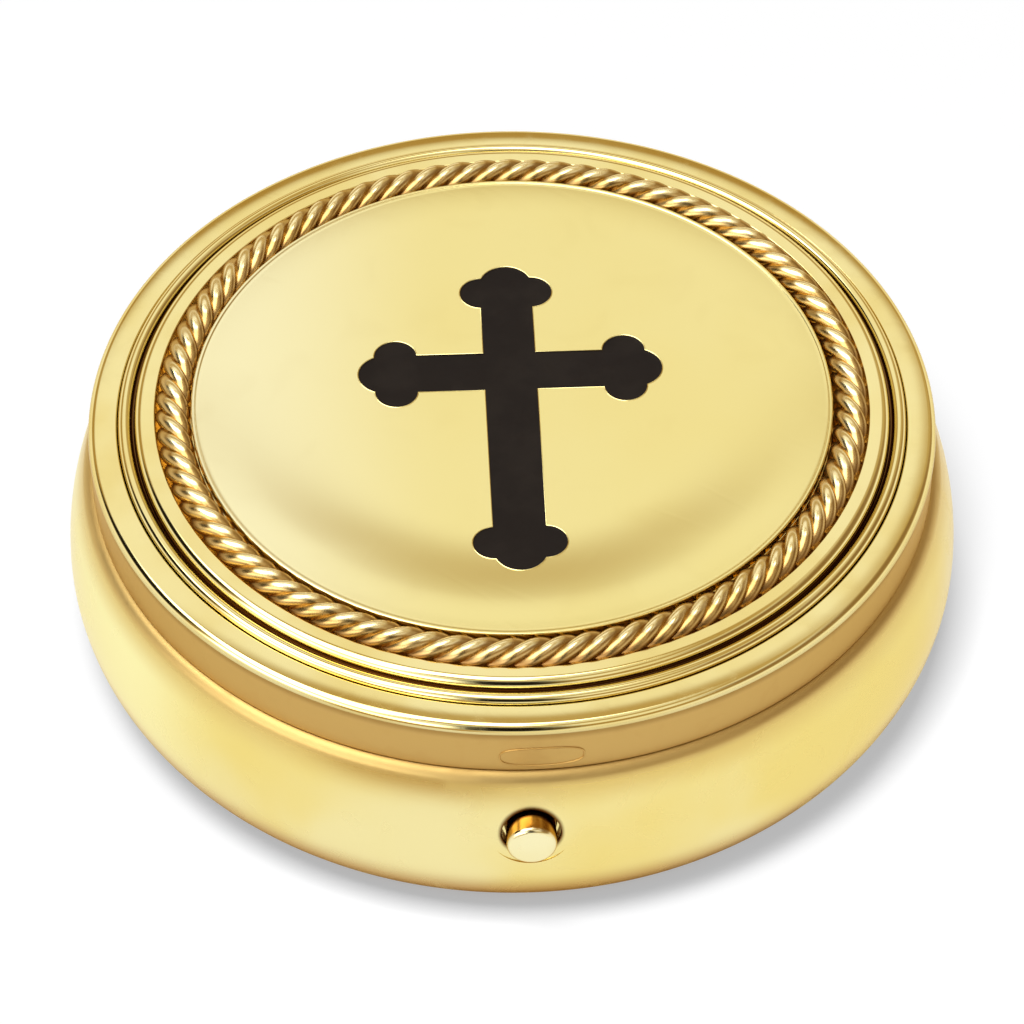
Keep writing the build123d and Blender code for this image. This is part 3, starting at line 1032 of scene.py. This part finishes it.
def floor_finish():
    """Diffuse white, lifted for the camera and the metal, with a painted shadow under the box,
    tinted as by the gilt's glow.
    """
    finish = bpy.data.materials.new("Floor")
    finish.use_nodes = True
    tree = finish.node_tree
    tree.nodes.clear()
    output = tree.nodes.new("ShaderNodeOutputMaterial")
    place = tree.nodes.new("ShaderNodeTexCoord").outputs["Object"]
    path = tree.nodes.new("ShaderNodeLightPath")
    in_metal = path.outputs["Is Glossy Ray"]
    reach = put(tree, "ShaderNodeVectorMath", {0: place}, operation="LENGTH").outputs["Value"]
    reach = math_node(tree, "SUBTRACT", reach, times(tree, in_metal, NEARER_IN_METAL * MM))
    start, end = PAINTED_SHADOW_UNDER_BOX
    under = spread(tree, reach, start * MM, end * MM, 1.0, 0.0)
    # Painted shadow under the box, tinted brown as by the gilt's reflected light, in the matt
    # colour and in the lift.
    matt_colour = mixed(tree, under, FLOOR_WHITE, (0.40, 0.22, 0.07, 1))
    glow_colour = mixed(tree, under, (1, 1, 1, 1), (0.4, 0.19, 0.05, 1))
    seen = math_node(tree, "MAXIMUM", path.outputs["Is Camera Ray"], in_metal)
    strength = times(tree, seen, FLOOR_LIFT)
    matt = put(tree, "ShaderNodeBsdfDiffuse", {"Color": matt_colour})
    glow = put(tree, "ShaderNodeEmission", {"Color": glow_colour, "Strength": strength})
    both = put(tree, "ShaderNodeAddShader", {0: matt.outputs[0], 1: glow.outputs[0]})
    tree.links.new(both.outputs[0], output.inputs["Surface"])
    return finish


def make_floor():
    floor = circle("floor", 128, FLOOR_RADIUS, fill_type="NGON")
    floor.data.materials.append(floor_finish())
    floor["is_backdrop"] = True


make_floor()

# ---------------------------------------------------------------- lamp, room and camera

HEART = (0, 0, 9.2 * MM)
LAMP_AZIMUTH, LAMP_ELEVATION = -17, 66
LAMP_DISTANCE = 1400
LAMP_SIDE = 400
LAMP_RADIANCE = 29
CAMERA_AZIMUTH, CAMERA_ELEVATION = -2.4, 45.93
CAMERA_DISTANCE = 397.1
CAMERA_LENS = 228.5


def aim(azimuth, elevation, distance):
    """A point round the object's middle, and the turn that faces the object from there."""
    a, e = math.radians(azimuth), math.radians(elevation)
    back = Vector((math.sin(a) * math.cos(e), -math.cos(a) * math.cos(e), math.sin(e)))
    return Vector(HEART) + back * distance * MM, (-back).to_track_quat("-Z", "Y")


def set_up(thing, azimuth, elevation, distance):
    """Puts a lamp or camera into the scene, facing the object."""
    bpy.context.scene.collection.objects.link(thing)
    thing.rotation_mode = "QUATERNION"
    thing.location, thing.rotation_quaternion = aim(azimuth, elevation, distance)


def light_the_floor():
    """A soft box high in front, a little left, for the shadow. The metal sees the room instead."""
    light = bpy.data.lights.new("window", "AREA")
    light.shape = "RECTANGLE"
    light.size = light.size_y = LAMP_SIDE * MM
    light.energy = LAMP_RADIANCE * math.pi * light.size * light.size_y
    lamp = bpy.data.objects.new("window", light)
    set_up(lamp, LAMP_AZIMUTH, LAMP_ELEVATION, LAMP_DISTANCE)
    lamp.visible_glossy = False


light_the_floor()

BLACK = (0.01, 0.007, 0.005, 1)
BROWN = (0.30, 0.19, 0.09, 1)
PALE = (1.03, 1.00, 0.94, 1)
WHITE = (4.5, 4.5, 4.5, 1)
WALLS = (0.92, 0.90, 0.86, 1)
FLOOR_SHARE = 0.2
ALL_ROUND = (-200, 200)

# What stands round the object, each before the one above it:
# azimuths from straight in front, elevations, soft edge, colour
ROOM = (
    (ALL_ROUND, (-10, 13), 5, (1.05, 1.00, 0.92, 1)),
    (ALL_ROUND, (14, 37), 5, (0.48, 0.32, 0.12, 1)),
    (ALL_ROUND, (37, 57), 5, PALE),
    (ALL_ROUND, (57, 71), 4, (0.56, 0.41, 0.20, 1)),
    ((100, 160), (24, 54), 8, (0.58, 0.43, 0.22, 1)),
    ((50, 135), (20, 50), 10, BROWN),
    ((-128, -88), (14, 44), 5, BLACK),
    ((-130, -40), (46, 84), 4, WHITE),
    ((-200, 10), (74, 95), 6, WHITE),
    ((142, 200), (74, 95), 6, WHITE),
    ((-80, -15), (10, 34), 4, (3.2, 3.2, 3.2, 1)),
    ((-45, -8), (-12, 8), 6, (0.55, 0.36, 0.16, 1)),
    ((-17, 11), (8, 54), 7, BLACK),
)


def window_of(tree, angle, ends, soft):
    """A window in the room, from one angle to another."""
    return window(tree, angle, *(math.radians(degrees) for degrees in (*ends, soft)))


def make_world():
    """White to the eye, and dim to the floor. For the metal, a room with soft boxes."""
    world = bpy.data.worlds.new("Studio")
    bpy.context.scene.world = world
    world.use_nodes = True
    tree = world.node_tree
    tree.nodes.clear()
    output = tree.nodes.new("ShaderNodeOutputWorld")
    toward = tree.nodes.new("ShaderNodeTexCoord").outputs["Generated"]
    x, y, z = axes(tree, toward)
    azimuth = math_node(tree, "ARCTAN2", x, times(tree, y, -1.0))
    elevation = math_node(tree, "ARCSINE", z)
    room = WALLS
    for sides, levels, soft, colour in ROOM:
        share = window_of(tree, elevation, levels, soft)
        if sides != ALL_ROUND:
            share = times(tree, share, window_of(tree, azimuth, sides, soft))
        room = mixed(tree, share, room, colour)
    path = tree.nodes.new("ShaderNodeLightPath")
    shown = mixed(tree, path.outputs["Is Glossy Ray"], (1, 1, 1, 1), room)
    dimmed = times(tree, path.outputs["Is Diffuse Ray"], 1.0 - FLOOR_SHARE)
    strength = math_node(tree, "SUBTRACT", 1.0, dimmed)
    background = put(tree, "ShaderNodeBackground", {"Color": shown, "Strength": strength})
    tree.links.new(background.outputs[0], output.inputs["Surface"])


make_world()


def make_camera():
    camera = bpy.data.objects.new("camera", bpy.data.cameras.new("camera"))
    set_up(camera, CAMERA_AZIMUTH, CAMERA_ELEVATION, CAMERA_DISTANCE)
    camera.data.sensor_width = 36
    camera.data.lens = CAMERA_LENS
    camera.data.clip_start = 0.01
    camera.data.clip_end = 10
    bpy.context.scene.camera = camera


make_camera()
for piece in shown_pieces():
    piece.visible_diffuse = False
bpy.context.scene.view_settings.view_transform = "Standard"
